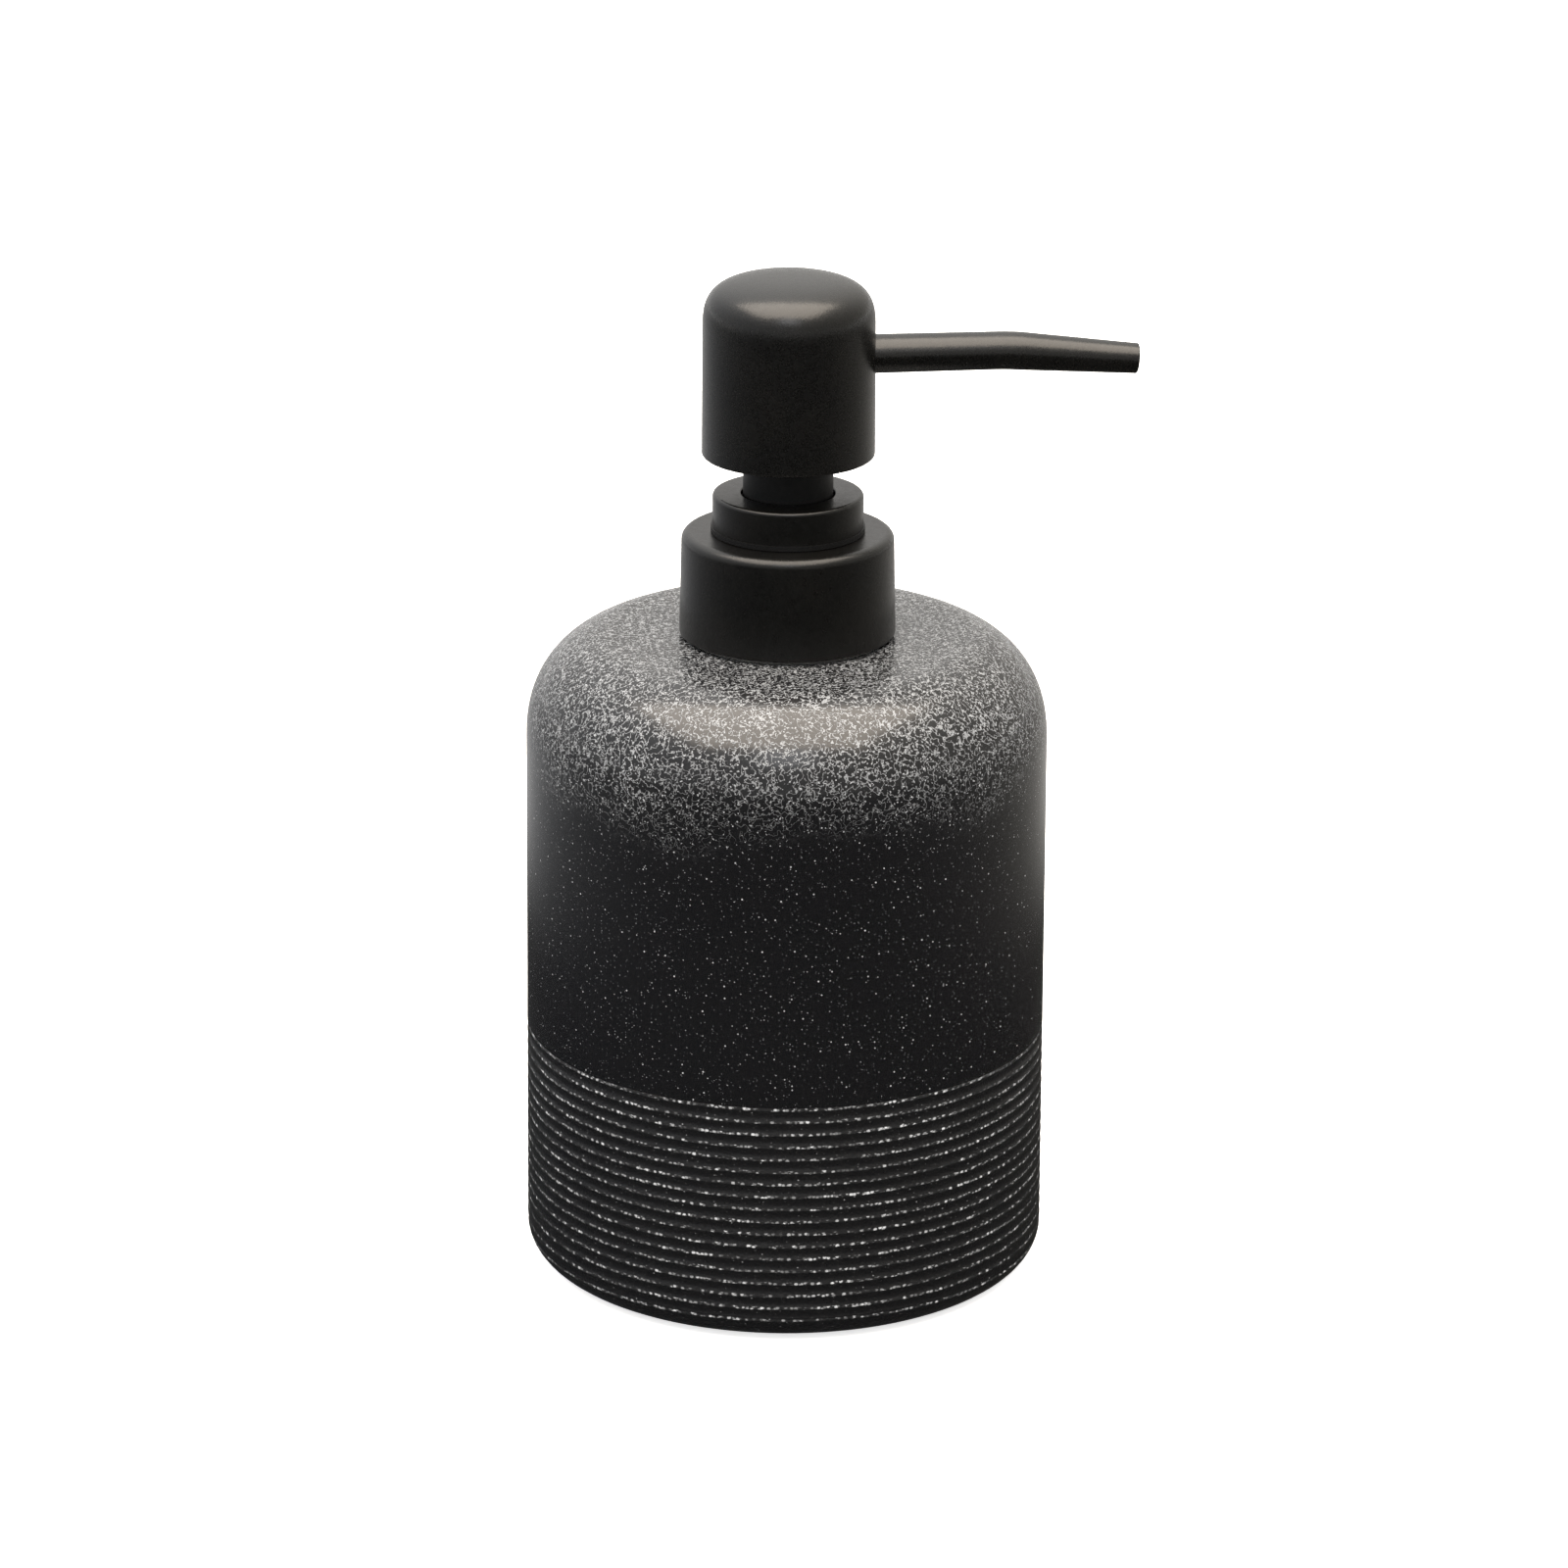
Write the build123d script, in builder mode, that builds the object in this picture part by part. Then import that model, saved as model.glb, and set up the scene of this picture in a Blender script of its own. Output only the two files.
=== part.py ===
from build123d import *

import os
from math import cos, radians, sin, sqrt

os.makedirs("parts", exist_ok=True)

# A free-standing soap dispenser: a cast resin bottle and a screw-on lotion pump.
# Millimetres. +Z is up, the origin is the centre of the base on the resting plane,
# and the spout points along +X at rest.

# ---- Bottle ----
BODY_FOOT_R = 37.64  # where the foot's round ends
BODY_TOP_R = 37.3  # where the shoulder starts; the wall has a slight draft
BOTTLE_BOTTOM = 0.4  # the pad stands this much proud of the cast underside
FOOT_ROUND = 4.5
SHOULDER_START = 79.4
SHOULDER_RISE = 11.0  # pull of the shoulder's curve along the wall
SHOULDER_REACH = 29.5  # radius that the shoulder's curve pulls level to
LAND_R = 26.0  # the top is level from here to the mouth
LAND_Z = 94.0
FLOOR_Z = 5.0
CAVITY_R = 33.5
CAVITY_SHOULDER = 74.0
CAVITY_RISE = 9.8
CAVITY_REACH = 27.2
CAVITY_TOP = 89.8
CAVITY_ROUND = 3.0
MOUTH_R = 12.9
RIB_COUNT = 18  # thin rings left between the turned grooves
RIB_TOP = 36.0
RIB_PITCH = 1.888
GROOVE_WIDTH = 1.5
GROOVE_DEPTH = 0.13

# ---- Base pad ----
PAD_R = 30.5
PAD_THICK = 1.2
PAD_GAP = 0.2

# ---- Threaded neck, 28 mm finish with 6 threads an inch ----
NECK_R = 12.6
NECK_BORE_R = 10.7
NECK_TOP = 105.0
NECK_CHAMFER = 0.3
NECK_FLANGE_R = 14.3
NECK_FLANGE_THICK = 0.75
NECK_FLANGE_SINK = 0.05  # the flange's top lies this far below the land
NECK_SLEEVE_BOTTOM = 87.5
THREAD_PITCH = 25.4 / 6
THREAD_TURNS = 1.25
THREAD_SINK = 0.3  # a thread's root goes this far into its wall
NECK_THREAD_Z = 98.0  # centre of the thread's first end
NECK_THREAD_CREST_R = 13.65
NECK_THREAD_ROOT = 2.4  # widths along the axis
NECK_THREAD_CREST = 1.0
LINER_THREAD_DROP = 1.55  # the closure's thread pulls on the neck thread's underside
LINER_THREAD_CREST_R = 12.9
LINER_THREAD_ROOT = 1.5
LINER_THREAD_CREST = 0.7

# ---- Closure ----
LINER_BOTTOM = 95.1
LINER_BORE_R = 13.85
LINER_R = 14.7
LINER_DISC_Z = 107.6
LINER_HOLE_R = 9.4
CLOSURE_BOTTOM = 94.6
CLOSURE_R = 15.42
CLOSURE_TOP_R = 15.1
CLOSURE_TOP = 109.4
CLOSURE_DISC = 0.75
CLOSURE_HOLE_R = 9.5
CLOSURE_EDGE = 1.25
CLOSURE_FOOT_EDGE = 0.25

# ---- Chaplet, collar ring and seals ----
CHAPLET_FLANGE_R = 10.95
CHAPLET_FLANGE_Z = 109.5
COLLAR_Z = 110.2
COLLAR_R = 10.72
COLLAR_TOP = 115.05
COLLAR_WALL = 0.8
COLLAR_EDGE = 0.55
COLLAR_HOLE_R = 6.66
COLLAR_HOLE_EDGE = 0.25
CHAPLET_HUB_R = 9.1
CHAPLET_HUB_BOTTOM = 107.8
CHAPLET_BORE_R = 6.6
CHAPLET_SLEEVE_R = 7.2
CHAPLET_BOTTOM = 97.6
CHAPLET_LIP_R = 4.5
CHAPLET_LIP_TOP = 98.4
GASKET_THICK = 1.2
GASKET_R = 12.4
STEM_SEAL_GAP = 0.08
STEM_SEAL_FLANGE = 0.6
STEM_SEAL_LIP = 1.4  # height of the wiping lip above the chaplet's
STEM_SEAL_LIP_THICK = 0.4
STEM_SEAL_ROOT_THICK = 0.7

# ---- Housing ----
UPSTAND_R = 8.4
UPSTAND_TOP = 109.0
HOUSING_FLANGE_THICK = 1.3
BARREL_TOP = 95.5
BARREL_BORE_R = 5.3
BARREL_LEAD_IN = 0.4
BARREL_R = 6.4
BARREL_SHOULDER = 92.5
BARREL_BOTTOM = 60.8
LEDGE_Z = 62.0
BALL_CHAMBER_R = 3.1
BALL_FLOOR = 55.0
SEAT_R = 1.9
SOCKET_R = 4.3
SOCKET_SHOULDER = 58.0
SOCKET_TOP = 54.0
SOCKET_BOTTOM = 44.0
VENT_R = 0.5
VENT_Z = 96.5

# ---- Dip tube, ball, spring ----
TUBE_R = 3.0
TUBE_BORE_R = 2.1
TUBE_BOTTOM = 6.5
TUBE_CUT_ANGLE = 35
BALL_R = 2.5
BALL_GAP = 0.03
BALL_LIFT = 1.5
BALL_STOP_GAP = 0.1
RETAINER_BORE_R = 2.0
RETAINER_MOUTH_R = 2.6
RETAINER_MOUTH_DEPTH = 0.8
RETAINER_FLANGE_R = 5.2
RETAINER_THICK = 1.0
RETAINER_SLOTS = 4
SLOT_R = 2.2
SLOT_LENGTH = 1.4
SLOT_WIDTH = 0.9
SPRING_R = 4.2
SPRING_WIRE_R = 0.4
SPRING_TURNS = 8
SPRING_GAP = 0.05

# ---- Piston group ----
PLUG_BOTTOM = 84.0
PLUG_TOP = 86.4
PLUG_R = 4.6
PLUG_RIM = 0.9
PLUG_SEAT_R = 3.2
PLUG_PIN_TOP = 88.7
PLUG_PIN_CHAMFER = 0.45
PISTON_BOTTOM = 87.0
PISTON_TOP = 94.6
PISTON_GAP = 0.05  # round the stem
PISTON_SLEEVE_R = 3.7
PISTON_SLEEVE_ROOT_R = 3.9
PISTON_WEB_R = 4.5
PISTON_WEB_THICK = 1.8
PISTON_SKIRT_R = 4.8
PISTON_LIP_R = 5.25
PISTON_LIP_INSET = 0.6  # of each lip's rim from the sleeve's end
PISTON_LIP_HEIGHT = 0.8
PISTON_LIP_SLOPE = 0.4
PISTON_RELIEF = 0.15
STEM_R = 2.9
STEM_BORE_R = 1.7
STEM_TOP = 127.5
STEM_COLLAR_R = 5.0
STEM_COLLAR_Z = 96.3
STEM_COLLAR_THICK = 1.1
STEM_PORT_Z = 89.5
STEM_PORT_R = 0.6

# ---- Head ----
HEAD_BOTTOM = 120.6
HEAD_BOTTOM_R = 12.27
HEAD_R = 12.17
HEAD_SHOULDER = 139.8
HEAD_TOP = 146.5
HEAD_RISE = 5.1
HEAD_CROWN_R = 9.5
HEAD_EDGE = 0.45
HEAD_BORE_R = 11.35
HEAD_INNER_RISE = 4.5
HEAD_WALL = 0.8
SLEEVE_R = 6.4
SLEEVE_BORE_R = 5.3
SLEEVE_BOTTOM = 109.2
HUB_R = 4.6
HUB_BOTTOM = 116.0
CORE_DISC_Z = 129.0
CORE_DISC_THICK = 2.0
BOSS_R = 3.9
BOSS_FOOT_Z = 130.0
BOSS_END = 10.4
RIB_THICK = 1.2
RIB_HEIGHT = 5.0
RIB_START = 3.4

# ---- Spout ----
SPOUT_Z = 134.95
SPOUT_START = 4.0
SPOUT_BEND_START = 29.4
SPOUT_BEND_R = 40.0
SPOUT_BEND_ANGLE = 5.2
SPOUT_END_LENGTH = 16.67
SPOUT_R = 2.8
SPOUT_BEND_SECTION_R = 2.7
SPOUT_TIP_R = 2.15
SPOUT_TIP_EDGE = 0.15
SPOUT_BORE_R = 1.6
SPOUT_BEND_BORE_R = 1.55
SPOUT_TIP_BORE_R = 1.3
SPOUT_HOLE_R = 3.0

OVERCUT = 1.0  # how far a cutter starts outside the metal it cuts


# ======== Bottle body ========

# The outer wall, from the underside up to the land round the mouth. The foot is a
# quarter round and the shoulder one curve that ends level.
with BuildPart() as bottle:
    with BuildSketch(Plane.XZ):
        with BuildLine():
            foot_start = (BODY_FOOT_R - FOOT_ROUND, BOTTLE_BOTTOM)
            underside = Line((0, BOTTLE_BOTTOM), foot_start)
            foot = JernArc(underside @ 1, (1, 0), FOOT_ROUND, 90)
            wall = Line(foot @ 1, (BODY_TOP_R, SHOULDER_START))
            shoulder = Bezier(
                wall @ 1,
                (BODY_TOP_R, SHOULDER_START + SHOULDER_RISE),
                (SHOULDER_REACH, LAND_Z),
                (LAND_R, LAND_Z),
            )
            Polyline(shoulder @ 1, (0, LAND_Z), (0, BOTTLE_BOTTOM))
        make_face()
    revolve(axis=Axis.Z)

    # Soap cavity, with a rounded floor corner and a domed top.
    with BuildSketch(Plane.XZ) as cavity:
        with BuildLine():
            floor = Line((0, FLOOR_Z), (CAVITY_R - CAVITY_ROUND, FLOOR_Z))
            corner = JernArc(floor @ 1, (1, 0), CAVITY_ROUND, 90)
            inner_wall = Line(corner @ 1, (CAVITY_R, CAVITY_SHOULDER))
            dome = Bezier(
                inner_wall @ 1,
                (CAVITY_R, CAVITY_SHOULDER + CAVITY_RISE),
                (CAVITY_REACH, CAVITY_TOP),
                (MOUTH_R, CAVITY_TOP),
            )
            Polyline(dome @ 1, (0, CAVITY_TOP), (0, FLOOR_Z))
        make_face()
    revolve(axis=Axis.Z, mode=Mode.SUBTRACT)

    # Mouth and the seat of the neck's flange.
    with Locations((0, 0, CAVITY_TOP - OVERCUT)):
        Cylinder(
            MOUTH_R,
            LAND_Z - CAVITY_TOP + 2 * OVERCUT,
            align=(Align.CENTER, Align.CENTER, Align.MIN),
            mode=Mode.SUBTRACT,
        )
    seat_depth = NECK_FLANGE_THICK + NECK_FLANGE_SINK
    with Locations((0, 0, LAND_Z)):
        CounterBoreHole(MOUTH_R, NECK_FLANGE_R, seat_depth, depth=LAND_Z - CAVITY_TOP)

    # Recess for the pad.
    with Locations((0, 0, BOTTLE_BOTTOM)):
        Cylinder(
            PAD_R + PAD_GAP,
            PAD_THICK - BOTTLE_BOTTOM,
            align=(Align.CENTER, Align.CENTER, Align.MIN),
            mode=Mode.SUBTRACT,
        )

    # Shallow turned grooves; the thin rings between them keep the full radius.
    groove_r = (GROOVE_WIDTH**2 / 4 + GROOVE_DEPTH**2) / (2 * GROOVE_DEPTH)
    foot_top = BOTTLE_BOTTOM + FOOT_ROUND
    draft = (BODY_FOOT_R - BODY_TOP_R) / (SHOULDER_START - foot_top)
    with BuildSketch(Plane.XZ) as grooves:
        for index in range(RIB_COUNT - 1):
            groove_z = RIB_TOP - (index + 0.5) * RIB_PITCH
            drop = foot_top - groove_z
            local_r = BODY_FOOT_R + draft * drop
            if drop > 0:
                local_r = BODY_FOOT_R - FOOT_ROUND + sqrt(FOOT_ROUND**2 - drop**2)
            with Locations((local_r + groove_r - GROOVE_DEPTH, groove_z)):
                Circle(groove_r)
    revolve(axis=Axis.Z, mode=Mode.SUBTRACT)

bottle.part.label = "bottle"
export_step(bottle.part, "parts/bottle.step")

# ======== Base pad ========

with BuildPart() as base_pad:
    Cylinder(PAD_R, PAD_THICK, align=(Align.CENTER, Align.CENTER, Align.MIN))

base_pad.part.label = "base_pad"
export_step(base_pad.part, "parts/base_pad.step")

# ======== Neck insert ========

with BuildPart() as neck_insert:
    flange_top = LAND_Z - NECK_FLANGE_SINK
    with BuildSketch(Plane.XZ):
        with BuildLine():
            Polyline(
                (NECK_BORE_R, NECK_SLEEVE_BOTTOM),
                (MOUTH_R, NECK_SLEEVE_BOTTOM),
                (MOUTH_R, flange_top - NECK_FLANGE_THICK),
                (NECK_FLANGE_R, flange_top - NECK_FLANGE_THICK),
                (NECK_FLANGE_R, flange_top),
                (NECK_R, flange_top),
                (NECK_R, NECK_TOP),
                (NECK_BORE_R, NECK_TOP),
                close=True,
            )
        make_face()
    revolve(axis=Axis.Z)
    chamfer(neck_insert.edges().group_by(Axis.Z)[-1], NECK_CHAMFER)

    # Right-hand outside thread, a trapezoid that rises along a helix.
    with BuildLine() as neck_path:
        Helix(
            THREAD_PITCH,
            THREAD_PITCH * THREAD_TURNS,
            NECK_R,
            center=(0, 0, NECK_THREAD_Z),
        )
    thread_start = Plane(
        neck_path.line @ 0, x_dir=(1, 0, 0), z_dir=neck_path.line % 0
    )
    with BuildSketch(thread_start):
        with BuildLine():
            crest = NECK_THREAD_CREST_R - NECK_R
            Polyline(
                (-THREAD_SINK, -NECK_THREAD_ROOT / 2),
                (crest, -NECK_THREAD_CREST / 2),
                (crest, NECK_THREAD_CREST / 2),
                (-THREAD_SINK, NECK_THREAD_ROOT / 2),
                close=True,
            )
        make_face()
    sweep(path=neck_path.line, is_frenet=True)

neck_insert.part.label = "neck_insert"
export_step(neck_insert.part, "parts/neck_insert.step")

# ======== Closure liner ========

with BuildPart() as closure_liner:
    liner_top = CLOSURE_TOP - CLOSURE_DISC
    with BuildSketch(Plane.XZ):
        with BuildLine():
            Polyline(
                (LINER_BORE_R, LINER_BOTTOM),
                (LINER_R, LINER_BOTTOM),
                (LINER_R, liner_top),
                (LINER_HOLE_R, liner_top),
                (LINER_HOLE_R, LINER_DISC_Z),
                (LINER_BORE_R, LINER_DISC_Z),
                close=True,
            )
        make_face()
    revolve(axis=Axis.Z)

    # Right-hand inside thread, under the neck's.
    with BuildLine() as liner_path:
        Helix(
            THREAD_PITCH,
            THREAD_PITCH * THREAD_TURNS,
            LINER_BORE_R,
            center=(0, 0, NECK_THREAD_Z - LINER_THREAD_DROP),
        )
    liner_start = Plane(
        liner_path.line @ 0, x_dir=(1, 0, 0), z_dir=liner_path.line % 0
    )
    with BuildSketch(liner_start):
        with BuildLine():
            crest = LINER_THREAD_CREST_R - LINER_BORE_R
            Polyline(
                (THREAD_SINK, -LINER_THREAD_ROOT / 2),
                (THREAD_SINK, LINER_THREAD_ROOT / 2),
                (crest, LINER_THREAD_CREST / 2),
                (crest, -LINER_THREAD_CREST / 2),
                close=True,
            )
        make_face()
    sweep(path=liner_path.line, is_frenet=True)

closure_liner.part.label = "closure_liner"
export_step(closure_liner.part, "parts/closure_liner.step")

# ======== Closure shell ========

with BuildPart() as closure_shell:
    with BuildSketch(Plane.XZ):
        with BuildLine():
            Polyline(
                (LINER_R, CLOSURE_BOTTOM),
                (CLOSURE_R, CLOSURE_BOTTOM),
                (CLOSURE_TOP_R, CLOSURE_TOP),
                (CLOSURE_HOLE_R, CLOSURE_TOP),
                (CLOSURE_HOLE_R, CLOSURE_TOP - CLOSURE_DISC),
                (LINER_R, CLOSURE_TOP - CLOSURE_DISC),
                close=True,
            )
        make_face()
    revolve(axis=Axis.Z)
    top_edges = closure_shell.edges().filter_by(GeomType.CIRCLE).group_by(Axis.Z)[-1]
    fillet(top_edges.sort_by(SortBy.RADIUS)[-1], CLOSURE_EDGE)
    bottom_edges = closure_shell.edges().filter_by(GeomType.CIRCLE).group_by(Axis.Z)[0]
    fillet(bottom_edges.sort_by(SortBy.RADIUS)[-1], CLOSURE_FOOT_EDGE)

closure_shell.part.label = "closure_shell"
export_step(closure_shell.part, "parts/closure_shell.step")

# ======== Outer gasket ========

with BuildPart() as outer_gasket:
    with Locations((0, 0, NECK_TOP)):
        Cylinder(GASKET_R, GASKET_THICK, align=(Align.CENTER, Align.CENTER, Align.MIN))
        Cylinder(
            UPSTAND_R,
            GASKET_THICK,
            align=(Align.CENTER, Align.CENTER, Align.MIN),
            mode=Mode.SUBTRACT,
        )

outer_gasket.part.label = "outer_gasket"
export_step(outer_gasket.part, "parts/outer_gasket.step")

# ======== Housing ========

# The barrel hangs from a flange on the neck. From the top: the chaplet's chamber,
# the piston's barrel, the spring's ledge, the ball's chamber and the tube's socket.
with BuildPart() as housing:
    flange_z = NECK_TOP + GASKET_THICK
    with BuildSketch(Plane.XZ):
        with BuildLine():
            Polyline(
                (CHAPLET_SLEEVE_R, UPSTAND_TOP),
                (CHAPLET_SLEEVE_R, BARREL_TOP),
                (BARREL_BORE_R, BARREL_TOP),
                (BARREL_BORE_R, LEDGE_Z),
                (BALL_CHAMBER_R, LEDGE_Z),
                (BALL_CHAMBER_R, BALL_FLOOR),
                (SEAT_R, BALL_FLOOR),
                (SEAT_R, SOCKET_TOP),
                (TUBE_R, SOCKET_TOP),
                (TUBE_R, SOCKET_BOTTOM),
                (SOCKET_R, SOCKET_BOTTOM),
                (SOCKET_R, SOCKET_SHOULDER),
                (BARREL_R, BARREL_BOTTOM),
                (BARREL_R, BARREL_SHOULDER),
                (UPSTAND_R, BARREL_TOP),
                (UPSTAND_R, flange_z),
                (GASKET_R, flange_z),
                (GASKET_R, flange_z + HOUSING_FLANGE_THICK),
                (UPSTAND_R, flange_z + HOUSING_FLANGE_THICK),
                (UPSTAND_R, UPSTAND_TOP),
                close=True,
            )
        make_face()
    revolve(axis=Axis.Z)
    mouth_edges = housing.edges().filter_by(GeomType.CIRCLE).group_by(Axis.Z)[0]
    chamfer(mouth_edges.sort_by(SortBy.RADIUS)[0], BARREL_LEAD_IN)

    # Vent that lets air in above the piston.
    vent_plane = Plane(origin=(0, 0, VENT_Z), z_dir=(0, 1, 0))
    with BuildSketch(vent_plane):
        Circle(VENT_R)
    extrude(amount=UPSTAND_R + OVERCUT, mode=Mode.SUBTRACT)

housing.part.label = "housing"
export_step(housing.part, "parts/housing.step")

# ======== Dip tube ========

with BuildPart() as dip_tube:
    with Locations((0, 0, TUBE_BOTTOM)):
        Cylinder(
            TUBE_R,
            SOCKET_TOP - TUBE_BOTTOM,
            align=(Align.CENTER, Align.CENTER, Align.MIN),
        )
        Cylinder(
            TUBE_BORE_R,
            SOCKET_TOP - TUBE_BOTTOM,
            align=(Align.CENTER, Align.CENTER, Align.MIN),
            mode=Mode.SUBTRACT,
        )
    # The lower end is cut at an angle, so that it can't seal against the floor.
    cut = Plane(
        origin=(-TUBE_R, 0, TUBE_BOTTOM),
        z_dir=(-sin(radians(TUBE_CUT_ANGLE)), 0, cos(radians(TUBE_CUT_ANGLE))),
    )
    split(bisect_by=cut, keep=Keep.TOP)

dip_tube.part.label = "dip_tube"
export_step(dip_tube.part, "parts/dip_tube.step")

# ======== Ball retainer, check ball and spring ========

# A flanged ring on the ledge. Its sleeve keeps the ball from rising with the soap.
with BuildPart() as ball_retainer:
    ball_z = BALL_FLOOR + BALL_GAP + sqrt(BALL_R**2 - SEAT_R**2)
    stop_z = ball_z + BALL_R + BALL_LIFT + BALL_STOP_GAP
    retainer_top = LEDGE_Z + RETAINER_THICK
    with BuildSketch(Plane.XZ):
        with BuildLine():
            Polyline(
                (RETAINER_BORE_R, stop_z),
                (BALL_CHAMBER_R, stop_z),
                (BALL_CHAMBER_R, LEDGE_Z),
                (RETAINER_FLANGE_R, LEDGE_Z),
                (RETAINER_FLANGE_R, retainer_top),
                (RETAINER_MOUTH_R, retainer_top),
                (RETAINER_BORE_R, retainer_top - RETAINER_MOUTH_DEPTH),
                close=True,
            )
        make_face()
    revolve(axis=Axis.Z)
    # Slots that let soap past a lifted ball.
    with BuildSketch(Plane.XY.offset(stop_z)):
        with PolarLocations(SLOT_R, RETAINER_SLOTS):
            Rectangle(SLOT_LENGTH, SLOT_WIDTH)
    extrude(amount=retainer_top - stop_z, mode=Mode.SUBTRACT)

ball_retainer.part.label = "ball_retainer"
export_step(ball_retainer.part, "parts/ball_retainer.step")

with BuildPart() as check_ball:
    with Locations((0, 0, ball_z)):
        Sphere(BALL_R)

check_ball.part.label = "check_ball"
export_step(check_ball.part, "parts/check_ball.step")

# A compression spring with ground ends, between the retainer and the piston's plug.
with BuildPart() as return_spring:
    spring_bottom = LEDGE_Z + RETAINER_THICK
    spring_top = PLUG_BOTTOM - SPRING_GAP
    spring_length = spring_top - spring_bottom
    with BuildLine() as spring_path:
        Helix(
            spring_length / SPRING_TURNS,
            spring_length,
            SPRING_R,
            center=(0, 0, spring_bottom),
        )
    wire_start = Plane(
        spring_path.line @ 0, x_dir=(1, 0, 0), z_dir=spring_path.line % 0
    )
    with BuildSketch(wire_start):
        Circle(SPRING_WIRE_R)
    sweep(path=spring_path.line, is_frenet=True)
    split(bisect_by=Plane.XY.offset(spring_bottom), keep=Keep.TOP)
    split(bisect_by=Plane.XY.offset(spring_top), keep=Keep.BOTTOM)

return_spring.part.label = "return_spring"
export_step(return_spring.part, "parts/return_spring.step")

# ======== Chaplet ========

# The lock ring: its skirt grips the housing's upstand through the closure's hole,
# its sleeve guides the head's stem, and its lip stops the stem's collar.
with BuildPart() as chaplet:
    collar_bore = COLLAR_R - COLLAR_WALL
    with BuildSketch(Plane.XZ):
        with BuildLine():
            Polyline(
                (CHAPLET_LIP_R, CHAPLET_BOTTOM),
                (CHAPLET_SLEEVE_R, CHAPLET_BOTTOM),
                (CHAPLET_SLEEVE_R, UPSTAND_TOP),
                (UPSTAND_R, UPSTAND_TOP),
                (UPSTAND_R, CHAPLET_HUB_BOTTOM),
                (CHAPLET_HUB_R, CHAPLET_HUB_BOTTOM),
                (CHAPLET_HUB_R, CHAPLET_FLANGE_Z),
                (CHAPLET_FLANGE_R, CHAPLET_FLANGE_Z),
                (CHAPLET_FLANGE_R, COLLAR_Z),
                (collar_bore, COLLAR_Z),
                (collar_bore, COLLAR_TOP - COLLAR_WALL),
                (CHAPLET_BORE_R, COLLAR_TOP - COLLAR_WALL),
                (CHAPLET_BORE_R, CHAPLET_LIP_TOP),
                (CHAPLET_LIP_R, CHAPLET_LIP_TOP),
                close=True,
            )
        make_face()
    revolve(axis=Axis.Z)

chaplet.part.label = "chaplet"
export_step(chaplet.part, "parts/chaplet.step")

# ======== Collar ring ========

with BuildPart() as collar_ring:
    with BuildSketch(Plane.XZ):
        with BuildLine():
            Polyline(
                (COLLAR_R - COLLAR_WALL, COLLAR_Z),
                (COLLAR_R, COLLAR_Z),
                (COLLAR_R, COLLAR_TOP),
                (COLLAR_HOLE_R, COLLAR_TOP),
                (COLLAR_HOLE_R, COLLAR_TOP - COLLAR_WALL),
                (COLLAR_R - COLLAR_WALL, COLLAR_TOP - COLLAR_WALL),
                close=True,
            )
        make_face()
    revolve(axis=Axis.Z)
    rim = collar_ring.edges().filter_by(GeomType.CIRCLE).group_by(Axis.Z)[-1]
    fillet(rim.sort_by(SortBy.RADIUS)[-1], COLLAR_EDGE)
    inner_rim = collar_ring.edges().filter_by(GeomType.CIRCLE).group_by(Axis.Z)[-1]
    fillet(inner_rim.sort_by(SortBy.RADIUS)[0], COLLAR_HOLE_EDGE)

collar_ring.part.label = "collar_ring"
export_step(collar_ring.part, "parts/collar_ring.step")

# ======== Stem seal ========

with BuildPart() as stem_seal:
    flange_top = CHAPLET_LIP_TOP + STEM_SEAL_FLANGE
    wiper_top = CHAPLET_LIP_TOP + STEM_SEAL_LIP
    with BuildSketch(Plane.XZ):
        with BuildLine():
            Polyline(
                (STEM_R + STEM_SEAL_GAP, CHAPLET_BOTTOM),
                (CHAPLET_LIP_R, CHAPLET_BOTTOM),
                (CHAPLET_LIP_R, CHAPLET_LIP_TOP),
                (STEM_COLLAR_R, CHAPLET_LIP_TOP),
                (STEM_COLLAR_R, flange_top),
                (STEM_R + STEM_SEAL_ROOT_THICK, flange_top),
                (STEM_R + STEM_SEAL_LIP_THICK, wiper_top),
                (STEM_R + STEM_SEAL_GAP, wiper_top),
                close=True,
            )
        make_face()
    revolve(axis=Axis.Z)

stem_seal.part.label = "stem_seal"
export_step(stem_seal.part, "parts/stem_seal.step")

# ======== Piston ========

# Two thin lips seal on the barrel, and an inner sleeve slides on the stem.
with BuildPart() as piston:
    bore = STEM_R + PISTON_GAP
    relief = PISTON_LIP_R - PISTON_RELIEF
    lower = PISTON_BOTTOM + PISTON_LIP_INSET
    upper = PISTON_TOP - PISTON_LIP_INSET
    web_bottom = (lower + upper - PISTON_WEB_THICK) / 2
    web_top = (lower + upper + PISTON_WEB_THICK) / 2
    with BuildSketch(Plane.XZ):
        with BuildLine():
            Polyline(
                (bore, PISTON_BOTTOM),
                (PISTON_SLEEVE_R, PISTON_BOTTOM),
                (PISTON_SLEEVE_ROOT_R, web_bottom),
                (PISTON_WEB_R, web_bottom),
                (PISTON_SKIRT_R, lower),
                (PISTON_LIP_R, lower),
                (PISTON_LIP_R, lower + PISTON_LIP_HEIGHT),
                (relief, lower + PISTON_LIP_HEIGHT + PISTON_LIP_SLOPE),
                (relief, upper - PISTON_LIP_HEIGHT - PISTON_LIP_SLOPE),
                (PISTON_LIP_R, upper - PISTON_LIP_HEIGHT),
                (PISTON_LIP_R, upper),
                (PISTON_SKIRT_R, upper),
                (PISTON_WEB_R, web_top),
                (PISTON_SLEEVE_ROOT_R, web_top),
                (PISTON_SLEEVE_R, PISTON_TOP),
                (bore, PISTON_TOP),
                close=True,
            )
        make_face()
    revolve(axis=Axis.Z)

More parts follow.
